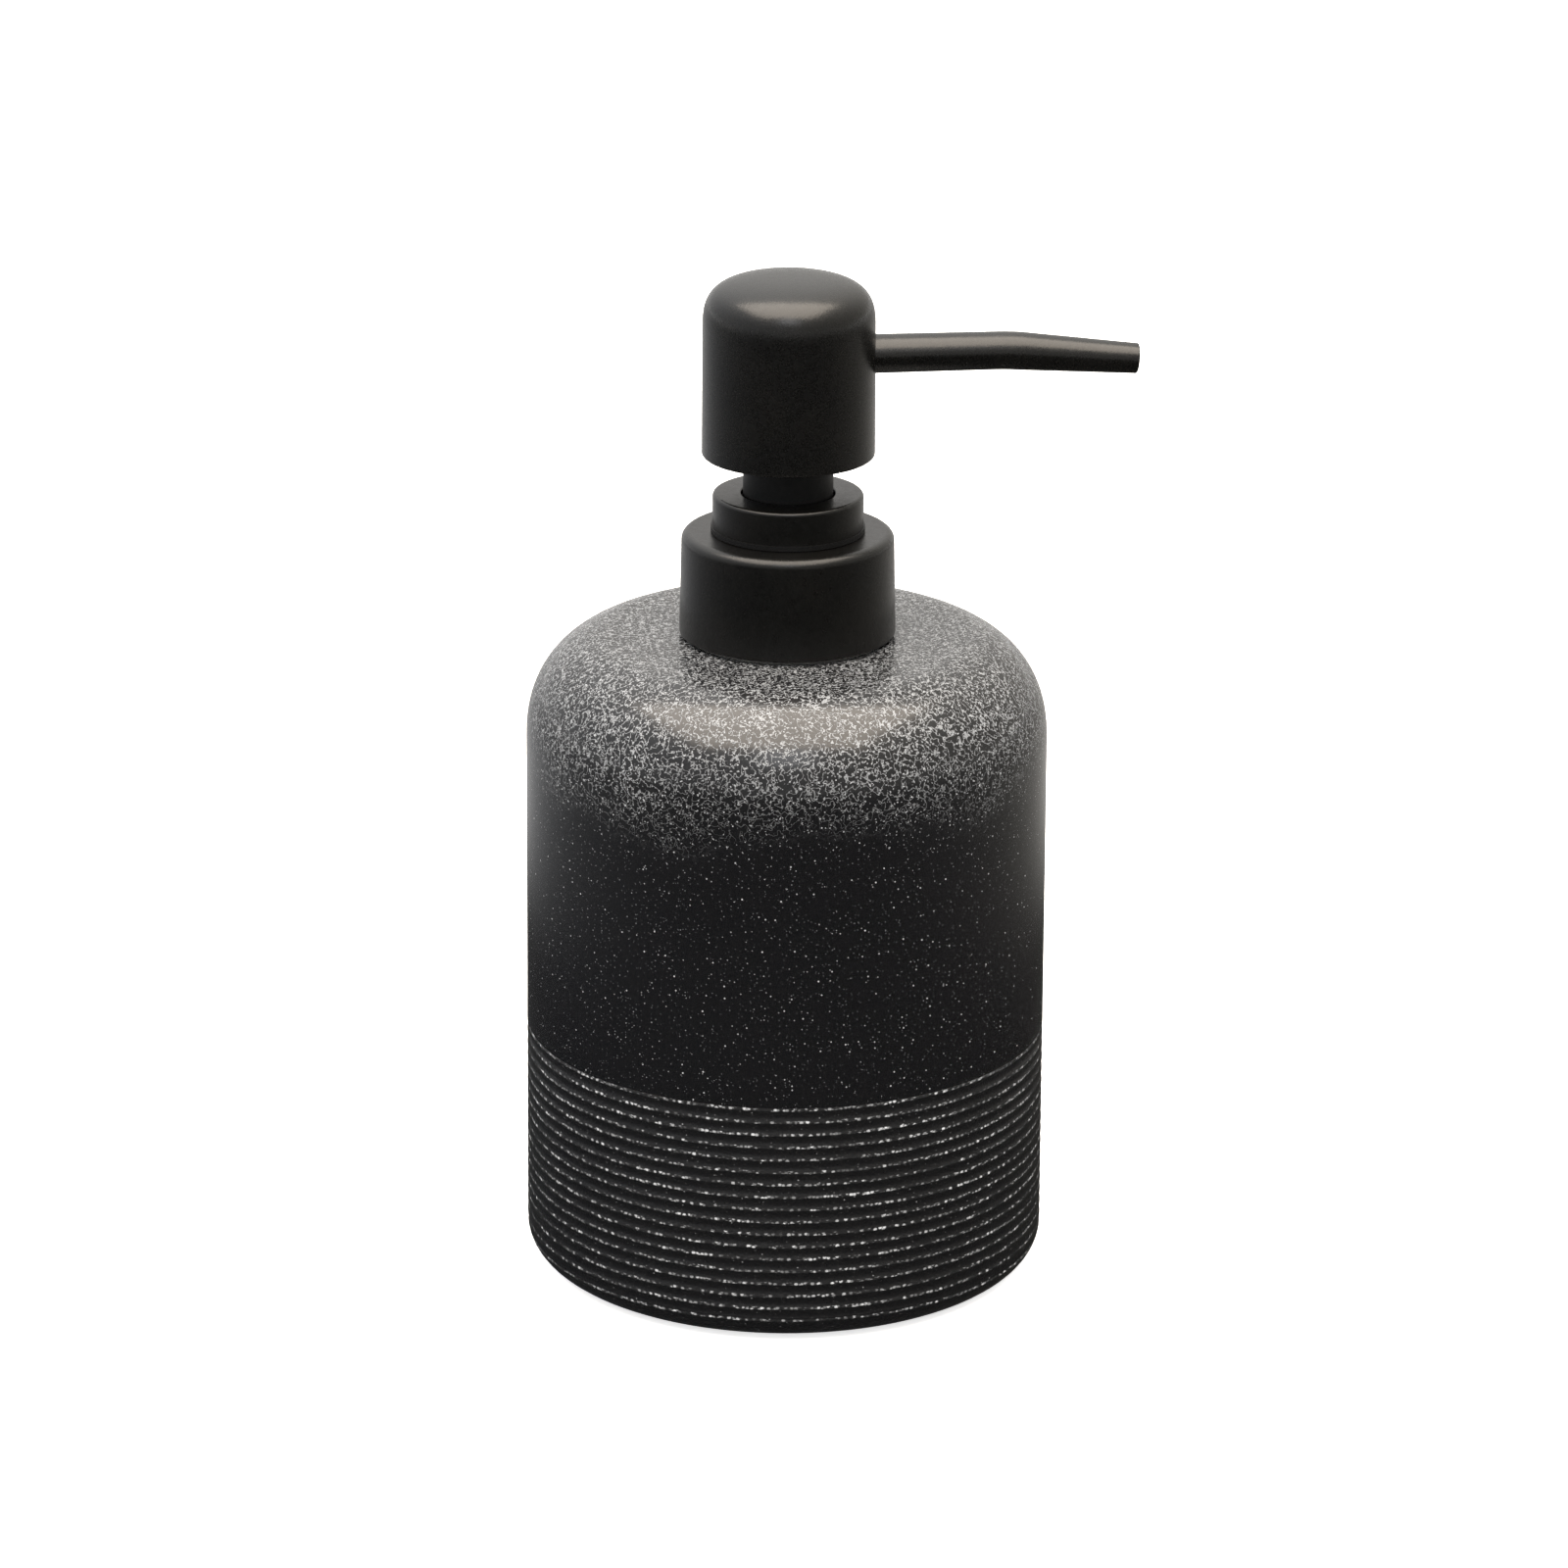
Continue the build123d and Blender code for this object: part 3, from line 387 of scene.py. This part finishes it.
def satin_paint(name, specular, roughness):
    """Black satin paint on metal: the fine grain and soft mottle of a sprayed coat."""
    material, tree, shader, place = new_material(name)
    fine_scale, mottle_scale, tone_scale = PAINT_SCALES
    fine = noise(tree, place, fine_scale, MORE_DETAIL)
    mottle = noise(tree, place, mottle_scale)
    tone = fade(tree, noise(tree, place, tone_scale), *TONE_FADE)
    tree.links.new(blend(tree, tone, *PAINT_TONES), shader.inputs["Base Color"])
    grain = maths(tree, "MULTIPLY_ADD", mottle, 0.5, maths(tree, "MULTIPLY", fine, 0.5))
    tree.links.new(span(tree, grain, *roughness), shader.inputs["Roughness"])
    shader.inputs["Specular IOR Level"].default_value = specular
    rise = maths(tree, "MULTIPLY_ADD", mottle, MOTTLE_RELIEF, fine)
    relief(tree, shader, rise, PAINT_RELIEF)
    return material


def stretched(tree, place, factors):
    """The place scaled by axis; a factor under 1 draws the pattern out along that axis."""
    inputs = {0: place, 1: factors}
    return add(tree, "ShaderNodeVectorMath", inputs, operation="MULTIPLY").outputs[0]


def moulded_plastic(name, tones, roughness, specular):
    """Injection-moulded plastic: a fine spark-eroded grain and slight flow marks."""
    material, tree, shader, place = new_material(name)
    flow = noise(tree, stretched(tree, place, FLOW_STRETCH), FLOW_SCALE, MORE_DETAIL)
    fine = noise(tree, place, SPARK_SCALE)
    colour = blend(tree, fade(tree, flow, *TONE_FADE), *tones)
    tree.links.new(colour, shader.inputs["Base Color"])
    rough = span(tree, fine, roughness - ROUGHNESS_SPREAD, roughness + ROUGHNESS_SPREAD)
    tree.links.new(rough, shader.inputs["Roughness"])
    shader.inputs["Specular IOR Level"].default_value = specular
    relief(tree, shader, fine, FINE_RELIEF)
    return material


def clear_plastic():
    """The dip tube's cloudy extruded plastic, with faint draw lines."""
    material, tree, shader, place = new_material("clear_plastic")
    lines = noise(tree, stretched(tree, place, TUBE_STRETCH), TUBE_SCALE, MORE_DETAIL)
    tree.links.new(blend(tree, lines, *TUBE_TONES), shader.inputs["Base Color"])
    tree.links.new(span(tree, lines, *TUBE_ROUGHNESS), shader.inputs["Roughness"])
    shader.inputs["Transmission Weight"].default_value = TUBE_CLEARNESS
    relief(tree, shader, lines, FINE_RELIEF)
    return material


def foam_pad():
    """Black closed-cell foam: small dark pores in a soft matte skin."""
    material, tree, shader, place = new_material("foam_pad")
    distance, chance = cells(tree, place, FOAM_SCALE)
    pore = fade(tree, distance, *FOAM_PORE)
    colour = blend(tree, pore, grey(FOAM_GREY), grey(PORE_GREY))
    tree.links.new(colour, shader.inputs["Base Color"])
    tree.links.new(span(tree, chance, *FOAM_ROUGHNESS), shader.inputs["Roughness"])
    relief(tree, shader, maths(tree, "SUBTRACT", 1.0, pore), FOAM_RELIEF)
    return material


def drawn_wire():
    """Stainless spring wire, with fine drawing lines."""
    material, tree, shader, place = new_material("drawn_wire")
    lines = noise(tree, place, WIRE_SCALE, MOST_DETAIL)
    dark, light = (grey(value, WIRE_WARMTH) for value in WIRE_GREYS)
    tree.links.new(blend(tree, lines, dark, light), shader.inputs["Base Color"])
    tree.links.new(span(tree, lines, *WIRE_ROUGHNESS), shader.inputs["Roughness"])
    shader.inputs["Metallic"].default_value = 1.0
    relief(tree, shader, lines, WIRE_RELIEF)
    return material


def ball_glass():
    """The check ball's pale green glass, with a lightly tumbled surface."""
    material, tree, shader, place = new_material("ball_glass")
    tumble = noise(tree, place, GLASS_SCALE, MORE_DETAIL)
    tree.links.new(blend(tree, tumble, *GLASS_TONES), shader.inputs["Base Color"])
    tree.links.new(span(tree, tumble, *GLASS_ROUGHNESS), shader.inputs["Roughness"])
    shader.inputs["Transmission Weight"].default_value = GLASS_CLEARNESS
    shader.inputs["IOR"].default_value = GLASS_IOR
    return material


def paper_floor():
    """Plain pale studio paper."""
    material, tree, shader, place = new_material("paper_floor")
    fibre = noise(tree, place, FIBRE_SCALE, MOST_DETAIL)
    dark = grey(FLOOR_SHADE * (1 - FIBRE_SPREAD))
    light = grey(FLOOR_SHADE * (1 + FIBRE_SPREAD))
    tree.links.new(blend(tree, fibre, dark, light), shader.inputs["Base Color"])
    shader.inputs["Roughness"].default_value = FLOOR_ROUGHNESS
    shader.inputs["Specular IOR Level"].default_value = FLOOR_SPECULAR
    shader.inputs["Emission Color"].default_value = WHITE
    shader.inputs["Emission Strength"].default_value = FLOOR_GLOW
    return material


def side_tint(tree, side):
    """The surround's colour, where side is -1 on the left and 1 on the right."""
    return blend(tree, maths(tree, "MULTIPLY_ADD", side, 0.5, 0.5), LEFT_TINT, RIGHT_TINT)


def painted_reflection_card():
    """A painted reflection of the floor for glossy coats: painted shade near the object, and
    darker towards the camera.
    """
    material, tree, shader, place = new_material("painted_reflection_card")
    azimuth = math.radians(CAMERA_AZIMUTH)
    away = (-math.sin(azimuth), math.cos(azimuth), 0.0)
    right = (math.cos(azimuth), math.sin(azimuth), 0.0)
    radius = add(tree, "ShaderNodeVectorMath", {0: place}, operation="LENGTH").outputs["Value"]
    heading = add(tree, "ShaderNodeVectorMath", {0: place}, operation="NORMALIZE").outputs[0]
    shares = []
    for direction in (away, right):
        inputs = {0: heading, 1: direction}
        node = add(tree, "ShaderNodeVectorMath", inputs, operation="DOT_PRODUCT")
        shares.append(node.outputs["Value"])
    behind = maths(tree, "MULTIPLY_ADD", shares[0], 0.5, 0.5)
    glow = span(tree, maths(tree, "POWER", behind, BACK_POWER), FRONT_GLOW, BACK_GLOW)
    side = maths(tree, "MULTIPLY_ADD", shares[1], -RIGHT_PAINTED_SHADE, 1.0)
    glow = maths(tree, "MULTIPLY", glow, side)
    # Painted shade: the glow drops near the object, where its own shadow would fall on the
    # floor.
    inputs = {0: fade(tree, radius, *PAINTED_SHADE_REACH), 2: PAINTED_SHADE_GLOW, 3: glow}
    strength = add(tree, "ShaderNodeMix", inputs, data_type="FLOAT").outputs[0]
    shader.inputs["Base Color"].default_value = BLACK
    shader.inputs["Specular IOR Level"].default_value = 0.0
    tree.links.new(side_tint(tree, shares[1]), shader.inputs["Emission Color"])
    tree.links.new(strength, shader.inputs["Emission Strength"])
    return material


# ======== Dress the CAD nodes ========


def dress(material, *names):
    """Gives CAD nodes a material in place of their plain one."""
    for name in names:
        mesh = nodes[name].data
        mesh.materials.clear()
        mesh.materials.append(material)


dress(resin_glaze(), "bottle")
head_paint = satin_paint("head_paint", HEAD_SPECULAR, HEAD_ROUGHNESS)
dress(head_paint, "head_shell", "spout")
collar_paint = satin_paint("collar_paint", COLLAR_SPECULAR, COLLAR_ROUGHNESS)
dress(collar_paint, "collar_ring", "closure_shell")
plastic = moulded_plastic("black_plastic", BLACK_TONES, BLACK_ROUGHNESS, BLACK_SPECULAR)
dress(plastic, "head_core", "chaplet", "closure_liner")
plastic = moulded_plastic("white_plastic", WHITE_TONES, WHITE_ROUGHNESS, WHITE_SPECULAR)
dress(plastic, "neck_insert", "housing", "ball_retainer", "piston_stem", "piston_plug")
plastic = moulded_plastic("seal_plastic", SEAL_TONES, SEAL_ROUGHNESS, WHITE_SPECULAR)
dress(plastic, "outer_gasket", "stem_seal", "piston")
dress(clear_plastic(), "dip_tube")
dress(foam_pad(), "base_pad")
dress(ball_glass(), "check_ball")


# ======== The return spring ===============================================


def coil_ring(turn, bottom, top, radius):
    """One ring of points round the wire, held between the spring's ground ends."""
    angle = 2 * math.pi * turn
    out = Vector((math.cos(angle), math.sin(angle), 0))
    centre = out * radius
    centre.z = bottom + (top - bottom) * turn / SPRING_TURNS
    along = Vector((-out.y, out.x, 0)) * 2 * math.pi * radius
    along.z = (top - bottom) / SPRING_TURNS
    across = out.cross(along).normalized()
    points = []
    for side in range(WIRE_SIDES):
        swing = 2 * math.pi * side / WIRE_SIDES
        point = centre + (out * math.cos(swing) + across * math.sin(swing)) * SPRING_WIRE_R
        point.z = min(max(point.z, bottom), top)
        points.append(point)
    return points


def coil_spring(material):
    """A wound spring in the CAD spring's place, attached to the pump body."""
    low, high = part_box("return_spring")
    radius = high.x - SPRING_WIRE_R
    points = []
    faces = []
    steps = SPRING_TURNS * COIL_STEPS
    for step in range(steps + 1):
        points += coil_ring(step / COIL_STEPS, low.z, high.z, radius)
    for step in range(steps):
        for side in range(WIRE_SIDES):
            here = step * WIRE_SIDES
            following = (side + 1) % WIRE_SIDES
            corners = (side, side + WIRE_SIDES, following + WIRE_SIDES, following)
            faces.append([here + corner for corner in corners])
    last = steps * WIRE_SIDES
    faces.append(list(range(WIRE_SIDES)))
    faces.append([last + side for side in reversed(range(WIRE_SIDES))])
    mesh = bpy.data.meshes.new("spring_coil")
    mesh.from_pydata(points, [], faces)
    mesh.materials.append(material)
    mesh.shade_smooth()
    coil = bpy.data.objects.new("spring_coil", mesh)
    bpy.context.scene.collection.objects.link(coil)
    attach(coil, "pump")
    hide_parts("return_spring")
    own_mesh(coil)


coil_spring(drawn_wire())


# ======== Stage, light and camera ========


def flat_sheet(name, corners, material):
    """A four-cornered flat mesh."""
    mesh = bpy.data.meshes.new(name)
    mesh.from_pydata(corners, [], [tuple(range(len(corners)))])
    sheet = bpy.data.objects.new(name, mesh)
    sheet.data.materials.append(material)
    bpy.context.scene.collection.objects.link(sheet)
    return sheet


def square(size, level):
    """The corners of a level square about the origin."""
    half = size / 2
    sides = ((-half, -half), (half, -half), (half, half), (-half, half))
    return [(x, y, level) for x, y in sides]


def stage():
    """A pale floor, and a glowing dark card on it that only reflections see, which is a painted
    reflection.
    """
    flat_sheet("floor", square(FLOOR_SIZE, 0.0), paper_floor())

    # The card is a painted reflection; without it the white floor would grey the black paint
    # and glaze.
    card = flat_sheet("painted_reflection_card", square(CARD_SIZE, CARD_LEVEL), painted_reflection_card())
    card.visible_camera = False
    card.visible_diffuse = False
    card.visible_shadow = False
    card.visible_transmission = False


def area_light(name, place, turn, size, power, colour):
    """A rectangular lamp; turn is its rotation."""
    lamp = bpy.data.lights.new(name, "AREA")
    lamp.shape = "RECTANGLE"
    lamp.size, lamp.size_y = size
    lamp.energy = power
    lamp.color = colour
    lit = bpy.data.objects.new(name, lamp)
    lit.location = place
    lit.rotation_euler = turn
    bpy.context.scene.collection.objects.link(lit)


def light():
    """A warm softbox overhead, a faint cool window behind the camera, a bright surround."""
    turn = (0, 0, math.radians(CAMERA_AZIMUTH))
    area_light("softbox", SOFTBOX_PLACE, turn, SOFTBOX_SIZE, SOFTBOX_POWER, SOFTBOX_COLOUR)
    ray = Vector(WINDOW_TARGET) - Vector(WINDOW_PLACE)
    turn = ray.to_track_quat("-Z", "Y").to_euler()
    area_light("window", WINDOW_PLACE, turn, WINDOW_SIZE, WINDOW_POWER, WINDOW_COLOUR)

    world = bpy.data.worlds.new("surround")
    bpy.context.scene.world = world
    world.use_nodes = True
    tree = world.node_tree
    ray = add(tree, "ShaderNodeTexCoord").outputs["Generated"]
    split = add(tree, "ShaderNodeSeparateXYZ", {0: ray})
    rise = maths(tree, "POWER", split.outputs["Z"], ZENITH_POWER)
    strength = span(tree, rise, HORIZON_LIGHT, ZENITH_LIGHT)
    side = maths(tree, "MULTIPLY_ADD", split.outputs["X"], -RIGHT_DIM, 1.0)
    depth = maths(tree, "MULTIPLY_ADD", split.outputs["Y"], BACK_RISE, LEVEL_SHARE)
    strength = maths(tree, "MULTIPLY", strength, maths(tree, "MULTIPLY", side, depth))
    background = tree.nodes["Background"]
    tree.links.new(side_tint(tree, split.outputs["X"]), background.inputs["Color"])
    tree.links.new(strength, background.inputs["Strength"])


def camera():
    """The camera at the picture's place, a long lens looking slightly down."""
    data = bpy.data.cameras.new("camera")
    data.lens = CAMERA_LENS
    data.sensor_width = CAMERA_SENSOR
    data.clip_start, data.clip_end = CAMERA_CLIP
    azimuth = math.radians(CAMERA_AZIMUTH)
    place = Vector((math.sin(azimuth), -math.cos(azimuth), 0)) * CAMERA_DISTANCE
    place.z = CAMERA_HEIGHT
    heading = Matrix.Rotation(math.radians(CAMERA_AZIMUTH + CAMERA_AIM), 4, "Z")
    tilt = Matrix.Rotation(math.radians(90 - CAMERA_PITCH), 4, "X")
    roll = Matrix.Rotation(math.radians(CAMERA_ROLL), 4, "Z")
    seen_from = bpy.data.objects.new("camera", data)
    seen_from.matrix_world = Matrix.Translation(place) @ heading @ tilt @ roll
    bpy.context.scene.collection.objects.link(seen_from)
    bpy.context.scene.camera = seen_from


stage()
light()
camera()
bpy.context.scene.view_settings.view_transform = "Standard"
